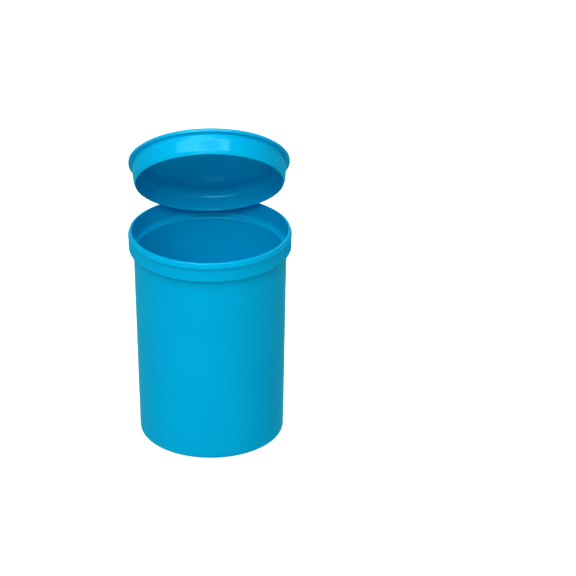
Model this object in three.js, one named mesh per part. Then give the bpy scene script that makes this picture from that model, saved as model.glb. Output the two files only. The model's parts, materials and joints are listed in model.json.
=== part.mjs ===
// A pop-top prescription vial: a cup with a captive plug lid on a moulded strap hinge.
// Millimetres, +Z up. The origin is the centre of the flat base. The hinge is at the back (+Y),
// the lid opens at the front (-Y), and the vial is squeezed on its ribbed sides (+X and -X).

import * as THREE from "three";

// ---- Driving dimensions ----

const FACETS = 72; // flats round every turned piece, so one flat is 5 degrees wide
const FACET_ANGLE = (2 * Math.PI) / FACETS;

const RIM_TOP = 87.9; // height of the whole cup
const RIM_RADIUS = 32.4; // widest part of the cup, on the rim bead
const MOUTH_RADIUS = 30.9; // bore that the plug enters
const RIM_BEAD_HEIGHT = 2.9;
const RIM_BEVEL = 0.5;

const COLLAR_RADIUS = 31.9;
const COLLAR_BOTTOM = 79.4;
const COLLAR_BEVEL = 0.7;
const SEAT_HEIGHT = 1.2; // of the cone inside the collar's foot, where the plug's tapered lip sits

const BASE_RADIUS = 29;
const SHOULDER_RADIUS = 30.3; // outside of the tapered wall where it meets the collar
const WALL = 1.2;
const FLOOR = 1.3;
const HEEL_RADIUS = 1.8; // outer round between base and wall
const INNER_HEEL_RADIUS = 1.5;

const RIBS_PER_SIDE = 9; // one grip rib on each collar flat
const RIB_WIDTH = 0.95;
const RIB_CREST_WIDTH = 0.5;
const RIB_HEIGHT = 0.4;
const RIB_BOTTOM = 80.1;
const RIB_TOP = 84.6;

const LID_RADIUS = 31.9;
const LID_GAP = 0.1; // between the closed lid and the rim
const FLANGE_THICKNESS = 1.1; // at the lid's outer edge
const PANEL_THICKNESS = 1.4; // inside the raised border
const BORDER_INNER_RADIUS = 29.8;
const BORDER_OUTER_RADIUS = 31.3;
const BORDER_HEIGHT = 0.4;

const PLUG_ROOT_RADIUS = 30.2;
const PLUG_BULGE_RADIUS = 30.45; // the widest ring of the plug, which seals in the mouth
const PLUG_BULGE_DEPTH = 2.6;
const PLUG_LIP_RADIUS = 29.3;
const PLUG_DEPTH = 8.4;
const PLUG_WALL = 1.15;
const PLUG_TAPER = 0.6; // the plug draws in by this much over its lowest part, down to the lip
const PLUG_TAPER_HEIGHT = 1.4;
const PLUG_LIP_WIDTH = 0.4;

const HINGE_WIDTH = 15.5;
const HINGE_AXIS_Y = 32.5; // the flat lands behind the rim and behind the lid end here too
const HINGE_AXIS_Z = RIM_TOP + LID_GAP;
const HINGE_BASE_TOP = RIM_TOP - 0.4;
const HINGE_BASE_HEIGHT = 1.3;
const FILM_THICKNESS = 0.5;
const FILM_BEND_RADIUS = 0.9; // of the strap's middle line when the lid is shut
const FILM_GAP = 0.3; // between the strap's end and the lid, which turns against it
const FILM_STEPS = 12; // straight pieces along the bow
const OPEN_ANGLE = THREE.MathUtils.degToRad(46.5);

const RELIEF_HEIGHT = 0.35; // raised marks on the lid
const MARK_LENGTH = 5.5;
const MARK_WIDTH = 1;
const ARC_MARKS = 7;
const ARC_MARK_RADIUS = 24.5;
const ARC_MARK_SPREAD = THREE.MathUtils.degToRad(65); // either side of the hinge
const MARK_PITCH = 5.2; // between the marks of one straight row
const MARK_ROWS = [
  { name: "back", count: 5, y: 7.4 },
  { name: "middle", count: 5, y: -6.9 },
  { name: "front", count: 3, y: -17 },
];

const ARROW_Y = 1.3;
const ARROW_HALF_LENGTH = 21;
const ARROW_STROKE = 0.8;
const ARROW_BARB = 2.8; // reach of a barb along and across the arrow, at 45 degrees

const PLASTIC = { color: "#00a6d9", roughness: 0.32, metalness: 0 };

// ---- Helpers ----

function named(name, geometry, finish = PLASTIC) {
  const mesh = new THREE.Mesh(geometry, new THREE.MeshStandardMaterial(finish));
  mesh.name = name;
  return mesh;
}

// A solid of revolution about Z. The outline is [radius, height] points that go upwards on the
// outside. A corner of the facets lies half a facet either side of each axis direction.
function turned(outline) {
  const points = outline.map(([radius, height]) => new THREE.Vector2(radius, height));
  return new THREE.LatheGeometry(points, FACETS, FACET_ANGLE / 2).rotateX(Math.PI / 2);
}

// The same for a ring, whose outline comes back to its first point.
function turnedRing(outline) {
  return turned([...outline, outline[0]]);
}

// Points of a round in an outline, about a centre, from one angle to another in degrees.
function round([centreRadius, centreHeight], radius, fromDegrees, toDegrees, steps = 4) {
  return Array.from({ length: steps + 1 }, (_, i) => {
    const angle = THREE.MathUtils.degToRad(fromDegrees + ((toDegrees - fromDegrees) * i) / steps);
    return [centreRadius + radius * Math.cos(angle), centreHeight + radius * Math.sin(angle)];
  });
}

function shapeThrough(points) {
  return new THREE.Shape(points.map(([x, y]) => new THREE.Vector2(x, y)));
}

// A flat outline in X and Y, raised from one height to another.
function raised(shape, bottom, top) {
  const depth = top - bottom;
  const geometry = new THREE.ExtrudeGeometry(shape, { depth, bevelEnabled: false, curveSegments: 4 });
  return geometry.translate(0, 0, bottom);
}

// Distance from the axis to the middle of a flat on a turned piece.
function flatRadius(cornerRadius) {
  return cornerRadius * Math.cos(FACET_ANGLE / 2);
}

// ---- The vial ----

function wallRadiusAt(height) {
  return BASE_RADIUS + ((SHOULDER_RADIUS - BASE_RADIUS) * height) / COLLAR_BOTTOM;
}

function vialBody() {
  const innerBaseRadius = wallRadiusAt(FLOOR + INNER_HEEL_RADIUS) - WALL;
  const heelCentre = [wallRadiusAt(HEEL_RADIUS) - HEEL_RADIUS, HEEL_RADIUS];
  const innerHeelCentre = [innerBaseRadius - INNER_HEEL_RADIUS, FLOOR + INNER_HEEL_RADIUS];
  return turned([
    [0, 0],
    ...round(heelCentre, HEEL_RADIUS, -90, 0),
    [SHOULDER_RADIUS, COLLAR_BOTTOM],
    [SHOULDER_RADIUS - WALL, COLLAR_BOTTOM],
    ...round(innerHeelCentre, INNER_HEEL_RADIUS, 0, -90, 3),
    [0, FLOOR],
  ]);
}

function collar() {
  return turnedRing([
    [SHOULDER_RADIUS - WALL, COLLAR_BOTTOM],
    [COLLAR_RADIUS - COLLAR_BEVEL, COLLAR_BOTTOM],
    [COLLAR_RADIUS, COLLAR_BOTTOM + COLLAR_BEVEL],
    [COLLAR_RADIUS, RIM_TOP - RIM_BEAD_HEIGHT],
    [MOUTH_RADIUS, RIM_TOP - RIM_BEAD_HEIGHT],
    [MOUTH_RADIUS, COLLAR_BOTTOM + SEAT_HEIGHT],
  ]);
}

function rimBead() {
  const bottom = RIM_TOP - RIM_BEAD_HEIGHT;
  return turnedRing([
    [MOUTH_RADIUS, bottom],
    [RIM_RADIUS - RIM_BEVEL, bottom],
    [RIM_RADIUS, bottom + RIM_BEVEL],
    [RIM_RADIUS, RIM_TOP - RIM_BEVEL],
    [RIM_RADIUS - RIM_BEVEL, RIM_TOP],
    [MOUTH_RADIUS + RIM_BEVEL, RIM_TOP],
    [MOUTH_RADIUS, RIM_TOP - RIM_BEVEL],
  ]);
}

function gripRib() {
  const foot = flatRadius(COLLAR_RADIUS);
  const section = shapeThrough([
    [-RIB_WIDTH / 2, foot],
    [RIB_WIDTH / 2, foot],
    [RIB_CREST_WIDTH / 2, foot + RIB_HEIGHT],
    [-RIB_CREST_WIDTH / 2, foot + RIB_HEIGHT],
  ]);
  return raised(section, RIB_BOTTOM, RIB_TOP);
}

// One rib on each of the flats about the squeezed side, numbered from the back.
function gripRibs(sideName, side) {
  return Array.from({ length: RIBS_PER_SIDE }, (_, i) => {
    const rib = named(`grip_rib_${sideName}_${i + 1}`, gripRib());
    const fromSide = (i - (RIBS_PER_SIDE - 1) / 2) * FACET_ANGLE;
    rib.rotation.z = -side * (Math.PI / 2 + fromSide);
    return rib;
  });
}

// ---- The hinge ----

// A tab between the flats of a turned piece and a straight face behind it, where the strap starts.
function hingeTab(seatRadius, bottom, top) {
  const halfWidth = HINGE_WIDTH / 2;
  const endFlat = FACET_ANGLE * Math.round(Math.asin(halfWidth / seatRadius) / FACET_ANGLE);
  const endY = (flatRadius(seatRadius) - halfWidth * Math.sin(endFlat)) / Math.cos(endFlat);
  const seatCorners = [];
  for (let angle = FACET_ANGLE / 2 - endFlat; angle < endFlat; angle += FACET_ANGLE) {
    seatCorners.push([seatRadius * Math.sin(angle), seatRadius * Math.cos(angle)]);
  }
  const outline = shapeThrough([
    [-halfWidth, endY],
    ...seatCorners,
    [halfWidth, endY],
    [halfWidth, HINGE_AXIS_Y],
    [-halfWidth, HINGE_AXIS_Y],
  ]);
  return raised(outline, bottom, top);
}

function hingeBase() {
  return hingeTab(RIM_RADIUS, HINGE_BASE_TOP - HINGE_BASE_HEIGHT, HINGE_BASE_TOP);
}

// The thin strap, bowed outwards from the rim's tab to the lid's tab as it lies at rest.
function hingeFilm() {
  const intoLid = new THREE.Vector2(-Math.cos(OPEN_ANGLE), Math.sin(OPEN_ANGLE));
  const start = new THREE.Vector2(HINGE_AXIS_Y, HINGE_AXIS_Z - FILM_BEND_RADIUS);
  const bendEnd = new THREE.Vector2(
    HINGE_AXIS_Y + FILM_BEND_RADIUS * Math.sin(OPEN_ANGLE),
    HINGE_AXIS_Z + FILM_BEND_RADIUS * Math.cos(OPEN_ANGLE),
  );
  const bow = new THREE.CubicBezierCurve(
    start,
    start.clone().add(new THREE.Vector2(FILM_BEND_RADIUS, 0)),
    bendEnd.clone().addScaledVector(intoLid, -FILM_BEND_RADIUS),
    bendEnd.clone().addScaledVector(intoLid, -FILM_GAP),
  );
  const side = (offset) =>
    Array.from({ length: FILM_STEPS + 1 }, (_, i) => {
      const point = bow.getPoint(i / FILM_STEPS);
      const along = bow.getTangent(i / FILM_STEPS);
      return [point.x - offset * along.y, point.y + offset * along.x];
    });
  const section = shapeThrough([...side(-FILM_THICKNESS / 2), ...side(FILM_THICKNESS / 2).reverse()]);
  // The section is drawn in Y and Z, so it is turned to run along X.
  const strap = raised(section, -HINGE_WIDTH / 2, HINGE_WIDTH / 2);
  return strap.rotateX(Math.PI / 2).rotateZ(Math.PI / 2);
}

// ---- The lid, drawn shut ----

const FLANGE_BOTTOM = RIM_TOP + LID_GAP;
const PANEL_TOP = FLANGE_BOTTOM + PANEL_THICKNESS;

function lidPanel() {
  return turned([
    [0, FLANGE_BOTTOM],
    [LID_RADIUS, FLANGE_BOTTOM],
    [LID_RADIUS, FLANGE_BOTTOM + FLANGE_THICKNESS],
    [BORDER_OUTER_RADIUS, PANEL_TOP],
    [0, PANEL_TOP],
  ]);
}

function lidBorder() {
  const middle = (BORDER_INNER_RADIUS + BORDER_OUTER_RADIUS) / 2;
  const halfWidth = (BORDER_OUTER_RADIUS - BORDER_INNER_RADIUS) / 2;
  const crown = round([0, 0], 1, 0, 180, 4);
  return turnedRing(
    crown.map(([across, up]) => [middle + halfWidth * across, PANEL_TOP + BORDER_HEIGHT * up]),
  );
}

function plugSkirt() {
  const lip = FLANGE_BOTTOM - PLUG_DEPTH;
  const taperRadius = PLUG_LIP_RADIUS + PLUG_TAPER;
  return turnedRing([
    [PLUG_LIP_RADIUS - PLUG_LIP_WIDTH, lip],
    [PLUG_LIP_RADIUS, lip],
    [taperRadius, lip + PLUG_TAPER_HEIGHT],
    [PLUG_BULGE_RADIUS, FLANGE_BOTTOM - PLUG_BULGE_DEPTH],
    [PLUG_ROOT_RADIUS, FLANGE_BOTTOM],
    [PLUG_ROOT_RADIUS - PLUG_WALL, FLANGE_BOTTOM],
    [taperRadius - PLUG_WALL, lip + PLUG_TAPER_HEIGHT],
  ]);
}

function hingeLeaf() {
  return hingeTab(LID_RADIUS, FLANGE_BOTTOM, FLANGE_BOTTOM + FLANGE_THICKNESS);
}

// A raised bar with round ends that runs along Y.
function mark() {
  const radius = MARK_WIDTH / 2;
  const reach = MARK_LENGTH / 2 - radius;
  const outline = new THREE.Shape()
    .absarc(0, reach, radius, 0, Math.PI)
    .absarc(0, -reach, radius, Math.PI, 2 * Math.PI);
  return raised(outline, PANEL_TOP, PANEL_TOP + RELIEF_HEIGHT);
}

function arcMarks() {
  return Array.from({ length: ARC_MARKS }, (_, i) => {
    const angle = ARC_MARK_SPREAD * ((2 * i) / (ARC_MARKS - 1) - 1);
    const bar = named(`arc_mark_${i + 1}`, mark());
    bar.position.set(ARC_MARK_RADIUS * Math.sin(angle), ARC_MARK_RADIUS * Math.cos(angle), 0);
    bar.rotation.z = -angle;
    return bar;
  });
}

function rowMarks({ name, count, y }) {
  return Array.from({ length: count }, (_, i) => {
    const bar = named(`${name}_mark_${i + 1}`, mark());
    bar.position.set((i - (count - 1) / 2) * MARK_PITCH, y, 0);
    return bar;
  });
}

// The double-headed arrow that points at the two sides to squeeze. Each head is two barbs.
function squeezeArrow() {
  const slant = ARROW_STROKE / Math.SQRT2; // a barb's width, seen along or across the arrow
  const halfShaft = ARROW_STROKE / 2;
  const barbEnd = ARROW_HALF_LENGTH - ARROW_BARB;
  const crotch = barbEnd - slant + (ARROW_BARB - slant - halfShaft);
  const upperRight = [
    [ARROW_HALF_LENGTH, 0],
    [barbEnd, ARROW_BARB],
    [barbEnd - slant, ARROW_BARB - slant],
    [crotch, halfShaft],
  ];
  const lowerRight = upperRight.slice(1).map(([x, y]) => [x, -y]);
  const rightHalf = [...lowerRight.reverse(), ...upperRight];
  const leftHalf = rightHalf.map(([x, y]) => [-x, -y]);
  const outline = shapeThrough([...rightHalf, ...leftHalf]);
  return raised(outline, PANEL_TOP, PANEL_TOP + RELIEF_HEIGHT).translate(0, ARROW_Y, 0);
}

// ---- Assembly ----

const vial = new THREE.Group();
vial.add(
  named("vial_body", vialBody()),
  named("collar", collar()),
  named("rim_bead", rimBead()),
  ...gripRibs("right", 1),
  ...gripRibs("left", -1),
  named("hinge_base", hingeBase()),
  named("hinge_film", hingeFilm()),
);

const shutLid = new THREE.Group();
shutLid.add(
  named("lid_panel", lidPanel()),
  named("lid_border", lidBorder()),
  named("plug_skirt", plugSkirt()),
  named("hinge_leaf", hingeLeaf()),
  named("squeeze_arrow", squeezeArrow()),
  ...arcMarks(),
  ...MARK_ROWS.flatMap(rowMarks),
);
shutLid.position.set(0, -HINGE_AXIS_Y, -HINGE_AXIS_Z);

// The lid turns about the hinge axis, and its front goes up as it opens.
const lid = new THREE.Group();
lid.add(shutLid);
lid.position.set(0, HINGE_AXIS_Y, HINGE_AXIS_Z);
lid.rotation.x = -OPEN_ANGLE;

const popTopVial = new THREE.Group();
popTopVial.add(vial, lid);

export default popTopVial;
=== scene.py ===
"""Looks for a pop-top prescription vial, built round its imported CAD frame.

Blender units are metres with +Z up. Small sizes are written in millimetres, as numbers times MM.
The hinge is at the back (+Y), the lid opens at the front (-Y), the ribbed sides face +X and -X.
"""

import json
from math import asin, atan2, cos, pi, radians, sin, sqrt, tan

import bmesh
import bpy
from mathutils import Matrix, Vector


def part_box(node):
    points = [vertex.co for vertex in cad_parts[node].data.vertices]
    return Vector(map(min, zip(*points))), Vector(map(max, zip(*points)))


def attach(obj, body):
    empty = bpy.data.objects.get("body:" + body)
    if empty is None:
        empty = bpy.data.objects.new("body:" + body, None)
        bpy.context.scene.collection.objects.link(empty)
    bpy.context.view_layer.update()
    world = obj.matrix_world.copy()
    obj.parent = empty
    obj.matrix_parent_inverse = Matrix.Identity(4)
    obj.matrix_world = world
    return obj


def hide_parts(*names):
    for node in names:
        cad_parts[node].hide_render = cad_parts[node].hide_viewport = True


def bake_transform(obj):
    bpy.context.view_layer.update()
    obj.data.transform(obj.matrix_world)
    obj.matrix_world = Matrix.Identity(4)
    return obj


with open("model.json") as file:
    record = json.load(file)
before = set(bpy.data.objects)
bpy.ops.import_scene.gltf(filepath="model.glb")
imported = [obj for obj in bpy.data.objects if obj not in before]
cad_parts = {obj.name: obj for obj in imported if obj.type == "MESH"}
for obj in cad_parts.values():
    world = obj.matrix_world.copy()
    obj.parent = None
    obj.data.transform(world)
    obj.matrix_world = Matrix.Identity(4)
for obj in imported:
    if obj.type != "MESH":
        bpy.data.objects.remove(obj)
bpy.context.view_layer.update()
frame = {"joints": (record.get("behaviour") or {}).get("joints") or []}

MM = 0.001

# ---- Camera ----

CAMERA_DISTANCE = 1.166
CAMERA_LENS_MM = 182.7
CAMERA_ELEVATION = radians(26)
CAMERA_TURN = radians(-2.15)  # the vial's hinge points a little to the left of straight back
CAMERA_ROLL = radians(0.19)
AIM_ACROSS = 30.9 * MM  # the middle of the picture is to the right of the vial's axis
AIM_HEIGHT = 62.1 * MM
CAMERA_NEAR = 0.01
CAMERA_FAR = 20


def add_camera():
    turn = Matrix.Rotation(CAMERA_TURN, 4, "Z")
    tilt = Matrix.Rotation(pi / 2 - CAMERA_ELEVATION, 4, "X")
    roll = Matrix.Rotation(CAMERA_ROLL, 4, "Z")
    aim = turn @ Vector((AIM_ACROSS, 0, AIM_HEIGHT))
    back = (turn @ tilt) @ Vector((0, 0, CAMERA_DISTANCE))
    data = bpy.data.cameras.new("camera")
    data.lens = CAMERA_LENS_MM
    data.clip_start = CAMERA_NEAR
    data.clip_end = CAMERA_FAR
    camera = bpy.data.objects.new("camera", data)
    camera.matrix_world = Matrix.Translation(aim + back) @ turn @ tilt @ roll
    bpy.context.scene.collection.objects.link(camera)
    bpy.context.scene.camera = camera


add_camera()

# ---- Sizes from the frame ----

CAD_FLATS = 72  # flats round each turned CAD piece, whose corners lie on the true circle
FLAT_ANGLE = 2 * pi / CAD_FLATS


def turned_radius(node):
    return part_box(node)[1].x / cos(FLAT_ANGLE / 2)


RIM_RADIUS = turned_radius("rim_bead")
RIM_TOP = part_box("rim_bead")[1].z
RIM_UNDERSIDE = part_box("rim_bead")[0].z
COLLAR_RADIUS = turned_radius("collar")
COLLAR_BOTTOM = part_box("collar")[0].z
SHOULDER_RADIUS = turned_radius("vial_body")
LID_RADIUS = turned_radius("lid_panel")
PLUG_BULGE_RADIUS = turned_radius("plug_skirt")
BORDER_RADIUS = turned_radius("lid_border")
HINGE_WIDTH = 2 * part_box("hinge_base")[1].x
RIB_BOTTOM, RIB_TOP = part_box("grip_rib_right_1")[0].z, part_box("grip_rib_right_1")[1].z

hinge = next(joint for joint in frame["joints"] if joint["name"] == "lid_hinge")
HINGE_AXIS = Vector(hinge["pos_m"])
OPEN_ANGLE = -radians(hinge["range_deg"][0])  # from shut to the rest pose
SHUT_TO_REST = (
    Matrix.Translation(HINGE_AXIS)
    @ Matrix.Rotation(-OPEN_ANGLE, 4, "X")
    @ Matrix.Translation(-HINGE_AXIS)
)

BASE_RADIUS = 29 * MM
MOUTH_RADIUS = 30.9 * MM
WALL = 1.2 * MM
FLOOR = 1.3 * MM
HEEL_ROUND = 1.8 * MM
INNER_HEEL_ROUND = 1.5 * MM
SEAM_DROP = 0.02 * MM  # how far below the collar's foot the wall's bore ends
SEAT_HEIGHT = 1.2 * MM
SEAT_ROUND = 1.6 * MM
COLLAR_FLARE = 0.55 * MM  # how far the collar's double curve reaches above and below its foot
COLLAR_FLARE_ROUND = 0.8 * MM
COLLAR_ROOT_LENGTH = 2 * MM  # how far below its double curve the collar starts, inside the wall
TUCK = 0.3 * MM  # how far a piece reaches into the one it is moulded to
BURY = 0.06 * MM  # how deep a surface starts inside the one that it flows out of

RIM_FOOT_HEIGHT = 0.5 * MM
RIM_FOOT_ROUND = 0.8 * MM
RIM_SLOPE_HEIGHT = 1.6 * MM  # the rim slopes in over this height, up to its crest
RIM_SLOPE_WIDTH = 0.6 * MM
RIM_SLOPE_ROUND = 1.4 * MM
RIM_CREST_ROUND = 0.5 * MM
RIM_INNER_ROUND = 0.25 * MM

LID_BOTTOM = HINGE_AXIS.z
FLANGE_THICKNESS = 1.1 * MM
FLANGE_UNDER_ROUND = 0.3 * MM
FLANGE_UPPER_ROUND = 0.35 * MM
PANEL_THICKNESS = 1.4 * MM
PANEL_TOP = LID_BOTTOM + PANEL_THICKNESS
PANEL_ROUND = 0.2 * MM
BORDER_WIDTH = 1.5 * MM
BORDER_HEIGHT = 0.4 * MM
BORDER_ROUND = 0.5 * MM
PLUG_ROOT_RADIUS = 30.2 * MM
PLUG_LIP_RADIUS = 29.3 * MM
PLUG_BULGE_DEPTH = 2.6 * MM
PLUG_DEPTH = 8.4 * MM
PLUG_WALL = 1.15 * MM
PLUG_TAPER = 0.6 * MM
PLUG_TAPER_HEIGHT = 1.4 * MM
PLUG_TAPER_ROUND = 1.2 * MM
PLUG_BULGE_ROUND = 2 * MM
PLUG_LIP_WIDTH = 0.5 * MM
PLUG_LIP_ROUND = 0.3 * MM
PLUG_LIP_INNER_ROUND = 0.25 * MM
PLUG_INNER_TAPER_ROUND = 0.5 * MM
PLUG_INNER_FILLET = 3.2 * MM
PLUG_FOOT_WIDTH = 1.5 * PLUG_INNER_FILLET  # how far the fillet's foot runs in along the disc
PLUG_FOOT_DROP = 0.01 * MM  # the foot shows a hair below the disc, so the two faces don't coincide

RELIEF_HEIGHT = 0.35 * MM
RELIEF_ROUND = 0.16 * MM
MARK_LENGTH = 5.5 * MM
MARK_WIDTH = 1 * MM
ARC_MARKS = 7
ARC_MARK_RADIUS = 24.5 * MM
ARC_MARK_SPREAD = radians(65)
MARK_PITCH = 5.2 * MM
MARK_ROWS = (("back", 5, 7.4 * MM), ("middle", 5, -6.9 * MM), ("front", 3, -17 * MM))
ARROW_Y = 1.3 * MM
ARROW_HALF_LENGTH = 21 * MM
ARROW_STROKE = 0.8 * MM
ARROW_BARB = 2.8 * MM

RIBS_PER_SIDE = 9
RIB_WIDTH = 0.95 * MM
RIB_HEIGHT = 0.4 * MM
RIB_ROUND = 0.35 * MM
RIB_TUCK = 3 * TUCK  # deeper than other pieces, because the collar curves away behind a rib

TAB_ROUND = 0.15 * MM
STRAP_THICKNESS = 0.5 * MM
STRAP_EDGE_ROUNDNESS = 0.9  # the round of the strap's long edges, as a share of half its thickness
STRAP_BEND_RADIUS = 0.9 * MM

# ---- Materials ----

PLASTIC_BLUE = (0.0, 0.485, 0.8, 1)
PLASTIC_DEEP_BLUE = (0.0, 0.465, 0.78, 1)
STRESSED_BLUE = (0.01, 0.53, 0.82, 1)
REFLECTION_TINT = (0.2, 0.85, 1, 1)
PLASTIC_ROUGHNESS = 0.14
STRESSED_ROUGHNESS = 0.3
GLOSSIER_PATCH = 0.03  # how far the roughness goes down and up from patch to patch
DULLER_PATCH = 0.05
PLASTIC_IOR = 1.49
PLASTIC_SPECULAR = 0.65
INNER_LIGHT = 0.12  # how much light goes through the plastic
INNER_LIGHT_TINT = (0.2, 0.9, 0.8)
INNER_LIGHT_REACH = 1.2 * MM

# A noise scale is features per metre. A range is the part of the noise that counts: past either
# end of it, nothing changes.
CLOUD_SCALE = 45
CLOUD_RANGE = (0.35, 0.65)
PATCH_SCALE = 120
PATCH_RANGE = (0.3, 0.7)
SCUFF_SCALE = 260
SCUFF_RANGE = (0.68, 0.74)
SCUFF_STRETCH = (1, 1, 0.06)  # long and upright
SCUFF_ROUGHNESS = 0.06
PEEL_SCALE = 900
PEEL_STRENGTH = 0.1
PEEL_DEPTH = 0.02 * MM
SINK_SCALE = 60
SINK_STRENGTH = 0.05
SINK_DEPTH = 0.15 * MM


def add_node(tree, kind, inputs=None, **settings):
    node = tree.nodes.new(kind)
    for name, value in settings.items():
        setattr(node, name, value)
    for name, value in (inputs or {}).items():
        node.inputs[name].default_value = value
    return node


def mapped_noise(tree, coordinates, scale, detail, stretch=(1, 1, 1)):
    """Noise in the piece's own space. stretch scales each axis."""
    mapping = add_node(tree, "ShaderNodeMapping", {"Scale": stretch})
    noise = add_node(tree, "ShaderNodeTexNoise", {"Scale": scale, "Detail": detail})
    tree.links.new(coordinates, mapping.inputs["Vector"])
    tree.links.new(mapping.outputs["Vector"], noise.inputs["Vector"])
    return noise.outputs["Fac"]


def remapped(tree, value, source, target=(0, 1)):
    """The value with its source range stretched, or squeezed, to the target range."""
    limits = dict(zip(("From Min", "From Max", "To Min", "To Max"), (*source, *target)))
    node = add_node(tree, "ShaderNodeMapRange", limits)
    tree.links.new(value, node.inputs["Value"])
    return node.outputs["Result"]


def scratches(tree, coordinates):
    """Thin, faint scuff lines, 0 to 1."""
    noise = mapped_noise(tree, coordinates, SCUFF_SCALE, detail=3, stretch=SCUFF_STRETCH)
    return remapped(tree, noise, SCUFF_RANGE)


def bumped(tree, height, strength, depth):
    """A bump node fed by a height between 0 and 1."""
    bump = add_node(tree, "ShaderNodeBump", {"Strength": strength, "Distance": depth})
    tree.links.new(height, bump.inputs["Height"])
    return bump


def moulded_plastic(name, light, roughness):
    """Injection-moulded polypropylene: clouded pigment, satin gloss, orange peel and faint scuffs."""
    material = bpy.data.materials.new(name)
    material.use_nodes = True
    tree = material.node_tree
    links = tree.links
    shader = tree.nodes["Principled BSDF"]
    coordinates = add_node(tree, "ShaderNodeTexCoord").outputs["Object"]

    cloud = mapped_noise(tree, coordinates, CLOUD_SCALE, detail=3)
    colour = add_node(tree, "ShaderNodeMix", data_type="RGBA")
    colour.inputs["A"].default_value = PLASTIC_DEEP_BLUE
    colour.inputs["B"].default_value = light
    links.new(remapped(tree, cloud, CLOUD_RANGE), colour.inputs["Factor"])
    links.new(colour.outputs["Result"], shader.inputs["Base Color"])

    patches = mapped_noise(tree, coordinates, PATCH_SCALE, detail=4)
    gloss_range = (roughness - GLOSSIER_PATCH, roughness + DULLER_PATCH)
    satin = remapped(tree, patches, PATCH_RANGE, gloss_range)
    scuffs = scratches(tree, coordinates)
    scuffed = add_node(tree, "ShaderNodeMath", operation="MULTIPLY_ADD")
    links.new(scuffs, scuffed.inputs[0])
    scuffed.inputs[1].default_value = SCUFF_ROUGHNESS
    links.new(satin, scuffed.inputs[2])
    links.new(scuffed.outputs["Value"], shader.inputs["Roughness"])

    peel = mapped_noise(tree, coordinates, PEEL_SCALE, detail=2)
    peel_bump = bumped(tree, peel, PEEL_STRENGTH, PEEL_DEPTH)
    sink = mapped_noise(tree, coordinates, SINK_SCALE, detail=1)
    sink_bump = bumped(tree, sink, SINK_STRENGTH, SINK_DEPTH)
    links.new(peel_bump.outputs["Normal"], sink_bump.inputs["Normal"])
    links.new(sink_bump.outputs["Normal"], shader.inputs["Normal"])

    shader.inputs["IOR"].default_value = PLASTIC_IOR
    shader.inputs["Specular IOR Level"].default_value = PLASTIC_SPECULAR
    shader.inputs["Specular Tint"].default_value = REFLECTION_TINT
    shader.inputs["Subsurface Weight"].default_value = INNER_LIGHT
    shader.inputs["Subsurface Radius"].default_value = INNER_LIGHT_TINT
    shader.inputs["Subsurface Scale"].default_value = INNER_LIGHT_REACH
    return material


CUP_PLASTIC = moulded_plastic("cup_plastic", PLASTIC_BLUE, PLASTIC_ROUGHNESS)
LID_PLASTIC = moulded_plastic("lid_plastic", PLASTIC_BLUE, PLASTIC_ROUGHNESS)
HINGE_PLASTIC = moulded_plastic("hinge_plastic", STRESSED_BLUE, STRESSED_ROUGHNESS)

# ---- Mesh helpers ----

ARC_STEPS = 8
BAR_END_STEPS = 10
SEGMENTS = 256
EDGE_ROUND_SEGMENTS = 4
HOLD = 0.12 * MM  # keeps a flat stretch's shading flat right up to its rounds
SHARP_ANGLE = radians(40)
LEVEL_TOLERANCE = 1e-7


def rounded(corners, closed):
    """Points along an outline of (across, up, round) corners, with each round drawn as an arc.

    A closed outline joins its last corner to its first. An open one keeps its two ends as they are.
    """
    count = len(corners)
    points = []
    for i, (x, y, radius) in enumerate(corners):
        corner = Vector((x, y))
        if radius == 0 or (not closed and i in (0, count - 1)):
            points.append(corner)
            continue
        to_last = (Vector(corners[i - 1][:2]) - corner).normalized()
        to_next = (Vector(corners[(i + 1) % count][:2]) - corner).normalized()
        opening = to_last.angle(to_next)
        reach = radius / tan(opening / 2)
        centre = corner + (to_last + to_next).normalized() * (radius / sin(opening / 2))
        first = corner + to_last * reach - centre
        last = corner + to_next * reach - centre
        start = atan2(first.y, first.x)
        sweep = (atan2(last.y, last.x) - start + pi) % (2 * pi) - pi
        points.append(corner + to_last * (reach + HOLD))
        for step in range(ARC_STEPS + 1):
            angle = start + sweep * step / ARC_STEPS
            points.append(centre + Vector((cos(angle), sin(angle))) * radius)
        points.append(corner + to_next * (reach + HOLD))
    return points


def object_from(bm, name):
    bmesh.ops.recalc_face_normals(bm, faces=bm.faces)
    for face in bm.faces:
        face.smooth = True
    for edge in bm.edges:
        edge.smooth = len(edge.link_faces) < 2 or edge.calc_face_angle() < SHARP_ANGLE
    mesh = bpy.data.meshes.new(name)
    bm.to_mesh(mesh)
    bm.free()
    made = bpy.data.objects.new(name, mesh)
    bpy.context.scene.collection.objects.link(made)
    return made


def revolved(name, corners, ring=True):
    """A solid of revolution about Z, from an outline that closes on itself, or on the axis."""
    profile = rounded(corners, closed=ring)
    bm = bmesh.new()
    poles = {i: bm.verts.new((0, 0, p.y)) for i, p in enumerate(profile) if p.x == 0}
    columns = []
    for segment in range(SEGMENTS):
        angle = 2 * pi * segment / SEGMENTS
        columns.append(
            [
                poles.get(i) or bm.verts.new((p.x * cos(angle), p.x * sin(angle), p.y))
                for i, p in enumerate(profile)
            ]
        )
    spans = len(profile) if ring else len(profile) - 1
    for segment, here in enumerate(columns):
        beside = columns[(segment + 1) % SEGMENTS]
        for i in range(spans):
            above = (i + 1) % len(profile)
            loop = [here[i], beside[i], beside[above], here[above]]
            bm.faces.new(list(dict.fromkeys(loop)))
    return object_from(bm, name)


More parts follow.
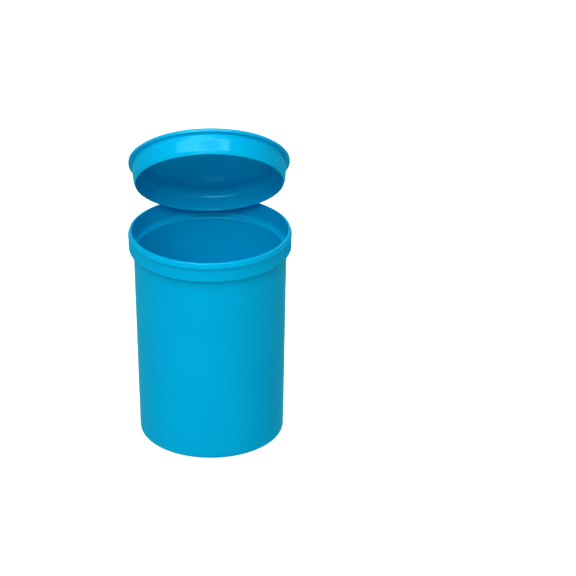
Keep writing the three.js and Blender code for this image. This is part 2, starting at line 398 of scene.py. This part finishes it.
def prism(name, outline, bottom, top, edge_round, round_bottom=False):
    """A flat outline raised from one height to another, with its upper edges rounded.

    The lower edges are rounded too if round_bottom is set.
    """
    bm = bmesh.new()
    base = bm.faces.new([bm.verts.new((x, y, bottom)) for x, y in outline])
    grown = bmesh.ops.extrude_face_region(bm, geom=[base])["geom"]
    moved = [part for part in grown if isinstance(part, bmesh.types.BMVert)]
    bmesh.ops.translate(bm, verts=moved, vec=(0, 0, top - bottom))
    made = object_from(bm, name)
    weights = made.data.attributes.new("bevel_weight_edge", "FLOAT", "EDGE")
    for edge in made.data.edges:
        ends = [made.data.vertices[v].co.z for v in edge.vertices]
        upper = all(abs(z - top) < LEVEL_TOLERANCE for z in ends)
        lower = round_bottom and all(abs(z - bottom) < LEVEL_TOLERANCE for z in ends)
        weights.data[edge.index].value = 1.0 if upper or lower else 0.0
    bevel = made.modifiers.new("round", "BEVEL")
    bevel.limit_method = "WEIGHT"
    bevel.width = edge_round
    bevel.segments = EDGE_ROUND_SEGMENTS
    bevel.harden_normals = True
    return made


def dress(piece, material, body, slot, *nodes):
    """Gives a piece its material, stands it in for its CAD nodes, and fixes it to a body. The slot
    argument is not used.
    """
    piece.data.materials.append(material)
    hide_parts(*nodes)
    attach(piece, body)


def dress_cup_piece(piece, *nodes):
    dress(piece, CUP_PLASTIC, "vial", "cup_plastic", *nodes)


def dress_lid_piece(piece, *nodes):
    """The same for a piece of the lid, which is built shut and swings to the rest pose first."""
    piece.data.transform(SHUT_TO_REST @ piece.matrix_world)
    piece.matrix_world = Matrix.Identity(4)
    dress(piece, LID_PLASTIC, "lid", "lid_plastic", *nodes)


# ---- Cup ----


def wall_radius(height):
    return BASE_RADIUS + (SHOULDER_RADIUS - BASE_RADIUS) * height / COLLAR_BOTTOM


def build_cup_wall():
    bore = SHOULDER_RADIUS - WALL
    foot = COLLAR_BOTTOM - COLLAR_FLARE
    inner_base = wall_radius(FLOOR) - WALL
    cup = revolved(
        "cup_wall",
        [
            (0, 0, 0),
            (BASE_RADIUS, 0, HEEL_ROUND),
            (wall_radius(foot), foot, 0),
            (bore, COLLAR_BOTTOM - SEAM_DROP, 0),
            (inner_base, FLOOR, INNER_HEEL_ROUND),
            (0, FLOOR, 0),
        ],
        ring=False,
    )
    dress_cup_piece(cup, "vial_body")


def build_squeeze_collar():
    """The collar flows out of the wall below it in a double curve, and has the plug's seat inside."""
    bore = SHOULDER_RADIUS - WALL
    foot = COLLAR_BOTTOM - COLLAR_FLARE
    root = foot - COLLAR_ROOT_LENGTH
    collar = revolved(
        "squeeze_collar",
        [
            (wall_radius(root) - BURY, root, 0),
            (wall_radius(foot), foot, COLLAR_FLARE_ROUND),
            (COLLAR_RADIUS, COLLAR_BOTTOM + COLLAR_FLARE, COLLAR_FLARE_ROUND),
            (COLLAR_RADIUS, RIM_UNDERSIDE, 0),
            (COLLAR_RADIUS - TUCK, RIM_UNDERSIDE + TUCK, 0),
            (MOUTH_RADIUS + TUCK, RIM_UNDERSIDE + TUCK, 0),
            (MOUTH_RADIUS, RIM_UNDERSIDE, 0),
            (MOUTH_RADIUS, COLLAR_BOTTOM + SEAT_HEIGHT, SEAT_ROUND),
            (bore, COLLAR_BOTTOM, SEAT_ROUND),
            (wall_radius(root) - WALL + BURY, root, 0),
        ],
    )
    dress_cup_piece(collar, "collar")


def build_mouth_rim():
    rim = revolved(
        "mouth_rim",
        [
            (MOUTH_RADIUS, RIM_UNDERSIDE, 0),
            (COLLAR_RADIUS - BURY, RIM_UNDERSIDE - TUCK, 0),
            (RIM_RADIUS, RIM_UNDERSIDE + RIM_FOOT_HEIGHT, RIM_FOOT_ROUND),
            (RIM_RADIUS, RIM_TOP - RIM_SLOPE_HEIGHT, RIM_SLOPE_ROUND),
            (RIM_RADIUS - RIM_SLOPE_WIDTH, RIM_TOP, RIM_CREST_ROUND),
            (MOUTH_RADIUS, RIM_TOP, RIM_INNER_ROUND),
        ],
    )
    dress_cup_piece(rim, "rim_bead")


def stadium(length, width):
    """Outline of a bar along Y with round ends."""
    radius = width / 2
    reach = length / 2 - radius
    angles = [pi * step / BAR_END_STEPS for step in range(BAR_END_STEPS + 1)]
    upper = [(radius * cos(a), reach + radius * sin(a)) for a in angles]
    return upper + [(-x, -y) for x, y in upper]


def build_grip_ridges():
    """Upright ridges on the squeezed sides, numbered from the back."""
    foot = COLLAR_RADIUS * cos(FLAT_ANGLE / 2)
    height = RIB_TOP - RIB_BOTTOM
    # A ridge is drawn lying flat, and stood up against the collar.
    stand = Matrix.Translation((0, foot, RIB_BOTTOM + height / 2)) @ Matrix(
        ((-1, 0, 0, 0), (0, 0, 1, 0), (0, 1, 0, 0), (0, 0, 0, 1))
    )
    outline = stadium(height, RIB_WIDTH)
    for side_name, side in (("right", 1), ("left", -1)):
        for i in range(RIBS_PER_SIDE):
            name = f"grip_ridge_{side_name}_{i + 1}"
            ridge = prism(name, outline, -RIB_TUCK, RIB_HEIGHT, RIB_ROUND)
            from_side = (i - (RIBS_PER_SIDE - 1) / 2) * FLAT_ANGLE
            turn = Matrix.Rotation(-side * (pi / 2 + from_side), 4, "Z")
            ridge.data.transform(turn @ stand)
            dress_cup_piece(ridge, f"grip_rib_{side_name}_{i + 1}")


# ---- Hinge ----


def hinge_tab(name, seat_radius, bottom, top):
    """A tab from inside a round piece out to the flat land that the strap starts from."""
    half = HINGE_WIDTH / 2
    seat = seat_radius - TUCK
    spread = asin(half / seat)
    steps = 12
    angles = [spread * (2 * step / steps - 1) for step in range(steps + 1)]
    outline = [(half, HINGE_AXIS.y), (-half, HINGE_AXIS.y)]
    outline += [(seat * sin(a), seat * cos(a)) for a in angles]
    return prism(name, outline, bottom, top, TAB_ROUND, round_bottom=True)


def build_hinge_tabs():
    low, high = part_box("hinge_base")
    dress_cup_piece(hinge_tab("rim_hinge_tab", RIM_RADIUS, low.z, high.z), "hinge_base")
    leaf = hinge_tab("lid_hinge_tab", LID_RADIUS, LID_BOTTOM, LID_BOTTOM + FLANGE_THICKNESS)
    dress_lid_piece(leaf, "hinge_leaf")


def bezier(points, t):
    a, b, c, d = points
    s = 1 - t
    return a * s**3 + b * 3 * s * s * t + c * 3 * s * t * t + d * t**3


def strap_line():
    """Middle line of the strap in Y and Z, from inside the rim's tab to inside the lid's tab."""
    into_lid = Vector((-cos(OPEN_ANGLE), sin(OPEN_ANGLE)))
    axis = Vector((HINGE_AXIS.y, HINGE_AXIS.z))
    start = axis - Vector((0, STRAP_BEND_RADIUS))
    bend_end = axis + Vector((sin(OPEN_ANGLE), cos(OPEN_ANGLE))) * STRAP_BEND_RADIUS
    bow = (
        start,
        start + Vector((STRAP_BEND_RADIUS, 0)),
        bend_end - into_lid * STRAP_BEND_RADIUS,
        bend_end,
    )
    steps = 28
    middle = [bezier(bow, step / steps) for step in range(steps + 1)]
    return [start - Vector((TUCK, 0)), *middle, middle[-1] + into_lid * TUCK]


def strap_section():
    """Section of the strap across X and through its thickness, with rounded long edges."""
    half_width = HINGE_WIDTH / 2
    half_thickness = STRAP_THICKNESS / 2
    edge_round = half_thickness * STRAP_EDGE_ROUNDNESS
    edge = [
        (half_width, -half_thickness, edge_round),
        (half_width, half_thickness, edge_round),
    ]
    mirrored = [(-x, -y, radius) for x, y, radius in edge]
    return rounded(edge + mirrored, closed=True)


def build_strap():
    line = strap_line()
    section = strap_section()
    bm = bmesh.new()
    rings = []
    for i, point in enumerate(line):
        along = (line[min(i + 1, len(line) - 1)] - line[max(i - 1, 0)]).normalized()
        out = Vector((-along.y, along.x))
        rings.append(
            [
                bm.verts.new((p.x, point.x + out.x * p.y, point.y + out.y * p.y))
                for p in section
            ]
        )
    for here, beyond in zip(rings, rings[1:]):
        for i in range(len(section)):
            j = (i + 1) % len(section)
            bm.faces.new((here[i], here[j], beyond[j], beyond[i]))
    bm.faces.new(rings[0])
    bm.faces.new(rings[-1])
    strap = object_from(bm, "hinge_strap")
    strap.data.materials.append(HINGE_PLASTIC)
    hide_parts("hinge_film")
    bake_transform(strap)


# ---- Lid ----


def build_lid_disc():
    disc = revolved(
        "lid_disc",
        [
            (0, LID_BOTTOM, 0),
            (LID_RADIUS, LID_BOTTOM, FLANGE_UNDER_ROUND),
            (LID_RADIUS, LID_BOTTOM + FLANGE_THICKNESS, FLANGE_UPPER_ROUND),
            (BORDER_RADIUS, PANEL_TOP, PANEL_ROUND),
            (0, PANEL_TOP, 0),
        ],
        ring=False,
    )
    dress_lid_piece(disc, "lid_panel")


def build_lid_border():
    inner = BORDER_RADIUS - BORDER_WIDTH
    border = revolved(
        "lid_border_ring",
        [
            (inner, PANEL_TOP - TUCK, 0),
            (BORDER_RADIUS, PANEL_TOP - TUCK, 0),
            (BORDER_RADIUS, PANEL_TOP + BORDER_HEIGHT, BORDER_ROUND),
            (inner, PANEL_TOP + BORDER_HEIGHT, BORDER_ROUND),
        ],
    )
    dress_lid_piece(border, "lid_border")


def build_plug_wall():
    """A slightly barrelled ring that tapers in to its lip and meets the disc in a fillet inside."""
    lip = LID_BOTTOM - PLUG_DEPTH
    taper_radius = PLUG_LIP_RADIUS + PLUG_TAPER
    inner_root = PLUG_ROOT_RADIUS - PLUG_WALL
    foot_edge = inner_root - PLUG_FOOT_WIDTH
    foot_height = LID_BOTTOM - PLUG_FOOT_DROP
    plug = revolved(
        "plug_wall",
        [
            (PLUG_LIP_RADIUS - PLUG_LIP_WIDTH, lip, PLUG_LIP_INNER_ROUND),
            (PLUG_LIP_RADIUS, lip, PLUG_LIP_ROUND),
            (taper_radius, lip + PLUG_TAPER_HEIGHT, PLUG_TAPER_ROUND),
            (PLUG_BULGE_RADIUS, LID_BOTTOM - PLUG_BULGE_DEPTH, PLUG_BULGE_ROUND),
            (PLUG_ROOT_RADIUS, LID_BOTTOM + TUCK, 0),
            (foot_edge, LID_BOTTOM + TUCK, 0),
            (foot_edge, foot_height, 0),
            (inner_root, foot_height, PLUG_INNER_FILLET),
            (taper_radius - PLUG_WALL, lip + PLUG_TAPER_HEIGHT, PLUG_INNER_TAPER_ROUND),
        ],
    )
    dress_lid_piece(plug, "plug_skirt")


def relief(name, outline, node, place):
    """A raised mark on the lid, standing for the CAD node of the same place."""
    mark = prism(name, outline, PANEL_TOP - TUCK, PANEL_TOP + RELIEF_HEIGHT, RELIEF_ROUND)
    mark.data.transform(place)
    dress_lid_piece(mark, node)


def arrow_outline():
    slant = ARROW_STROKE / sqrt(2)
    barb_end = ARROW_HALF_LENGTH - ARROW_BARB
    crotch = barb_end - slant + (ARROW_BARB - slant - ARROW_STROKE / 2)
    upper = [
        (ARROW_HALF_LENGTH, 0),
        (barb_end, ARROW_BARB),
        (barb_end - slant, ARROW_BARB - slant),
        (crotch, ARROW_STROKE / 2),
    ]
    lower = [(x, -y) for x, y in reversed(upper[1:])]
    return lower + upper + [(-x, -y) for x, y in lower + upper]


def build_lid_relief():
    bar = stadium(MARK_LENGTH, MARK_WIDTH)
    for i in range(ARC_MARKS):
        angle = ARC_MARK_SPREAD * (2 * i / (ARC_MARKS - 1) - 1)
        out = Matrix.Translation((0, ARC_MARK_RADIUS, 0))
        relief(f"arc_bar_{i + 1}", bar, f"arc_mark_{i + 1}", Matrix.Rotation(-angle, 4, "Z") @ out)
    for row, count, y in MARK_ROWS:
        for i in range(count):
            place = Matrix.Translation(((i - (count - 1) / 2) * MARK_PITCH, y, 0))
            relief(f"{row}_bar_{i + 1}", bar, f"{row}_mark_{i + 1}", place)
    relief("arrow_relief", arrow_outline(), "squeeze_arrow", Matrix.Translation((0, ARROW_Y, 0)))


build_cup_wall()
build_squeeze_collar()
build_mouth_rim()
build_grip_ridges()
build_hinge_tabs()
build_strap()
build_lid_disc()
build_lid_border()
build_plug_wall()
build_lid_relief()

# ---- Studio ----

FLOOR_RADIUS = 7
SWEEP_ROUND = 3
SWEEP_HEIGHT = 6
PAPER_WHITE = (0.9, 0.9, 0.9, 1)
PAPER_ROUGHNESS = 0.9
PAPER_SPECULAR = 0.1
PAPER_OWN_LIGHT = 0.72

FLOOR_GLOW = (0.05, 0.47, 0.51, 1)
ROOM = (0.08, 0.1, 0.11, 1)
GLOW_TOP = 0.47  # heights in the sky, from 0 straight below to 1 straight above
ROOM_BOTTOM = 0.55

VIAL_MIDDLE = Vector((0, 0, 0.07))
SOFTBOX_WHITE = (0.92, 0.94, 1)
SOFTBOX_DISTANCE = 2
SOFTBOX_SIZE = (1, 1)
SOFTBOXES = (  # name, azimuth and elevation in degrees, radiance
    ("left_softbox", -47, 40, 2.2),
    ("front_softbox", -12, 40, 5.1),
    ("right_softbox", 20, 38, 1.1),
    ("back_softbox", 170, 45, 2.2),
)
STRIP_PLACE = Vector((-0.05, -0.38, 1.08))
STRIP_SIZE = (1.3, 0.4)
STRIP_RADIANCE = 4.1


def build_floor():
    """White paper that curves up far away on every side, so that low views have no horizon.

    A little light of its own keeps it white right up to the vial.
    """
    sweep = [(0, 0, 0), (FLOOR_RADIUS, 0, SWEEP_ROUND), (FLOOR_RADIUS, SWEEP_HEIGHT, 0)]
    floor = revolved("floor", sweep, ring=False)
    material = bpy.data.materials.new("floor_paper")
    material.use_nodes = True
    shader = material.node_tree.nodes["Principled BSDF"]
    shader.inputs["Base Color"].default_value = PAPER_WHITE
    shader.inputs["Roughness"].default_value = PAPER_ROUGHNESS
    shader.inputs["Specular IOR Level"].default_value = PAPER_SPECULAR
    shader.inputs["Emission Color"].default_value = (1, 1, 1, 1)
    shader.inputs["Emission Strength"].default_value = PAPER_OWN_LIGHT
    floor.data.materials.append(material)
    # The sky's lower half stands in for the light that the floor sends back to the vial.
    floor.visible_diffuse = False
    floor.visible_glossy = False
    floor.visible_shadow = False


def build_sky():
    """A soft surround: a blue-green glow below, for the floor's bounce, and a dim room above."""
    world = bpy.data.worlds.new("studio")
    world.use_nodes = True
    tree = world.node_tree
    coordinates = add_node(tree, "ShaderNodeTexCoord")
    height = add_node(tree, "ShaderNodeSeparateXYZ")
    tree.links.new(coordinates.outputs["Generated"], height.inputs["Vector"])
    ramp = add_node(tree, "ShaderNodeValToRGB")
    tree.links.new(remapped(tree, height.outputs["Z"], (-1, 1)), ramp.inputs["Fac"])
    levels = ramp.color_ramp.elements
    levels[0].position, levels[0].color = GLOW_TOP, FLOOR_GLOW
    levels[1].position, levels[1].color = ROOM_BOTTOM, ROOM
    background = tree.nodes["Background"]
    tree.links.new(ramp.outputs["Color"], background.inputs["Color"])
    bpy.context.scene.world = world


def add_softbox(name, place, size, radiance):
    """A soft rectangular light that faces the vial. size is its width and depth."""
    width, depth = size
    data = bpy.data.lights.new(name, "AREA")
    data.shape = "RECTANGLE"
    data.size = width
    data.size_y = depth
    data.energy = radiance * pi * width * depth
    data.color = SOFTBOX_WHITE
    light = bpy.data.objects.new(name, data)
    light.location = place
    light.rotation_mode = "QUATERNION"
    light.rotation_quaternion = (VIAL_MIDDLE - place).to_track_quat("-Z", "Y")
    light.visible_camera = False
    bpy.context.scene.collection.objects.link(light)


def softbox_place(azimuth, elevation):
    """Azimuth is in degrees from straight in front (-Y), positive to the right."""
    turn, rise = radians(azimuth), radians(elevation)
    towards = Vector((sin(turn) * cos(rise), -cos(turn) * cos(rise), sin(rise)))
    return VIAL_MIDDLE + towards * SOFTBOX_DISTANCE


def build_studio():
    build_floor()
    build_sky()
    for name, azimuth, elevation, radiance in SOFTBOXES:
        add_softbox(name, softbox_place(azimuth, elevation), SOFTBOX_SIZE, radiance)
    # This one is what shines back from the front of the lid's plug.
    add_softbox("overhead_strip", STRIP_PLACE, STRIP_SIZE, STRIP_RADIANCE)
    bpy.context.scene.view_settings.view_transform = "Standard"


build_studio()
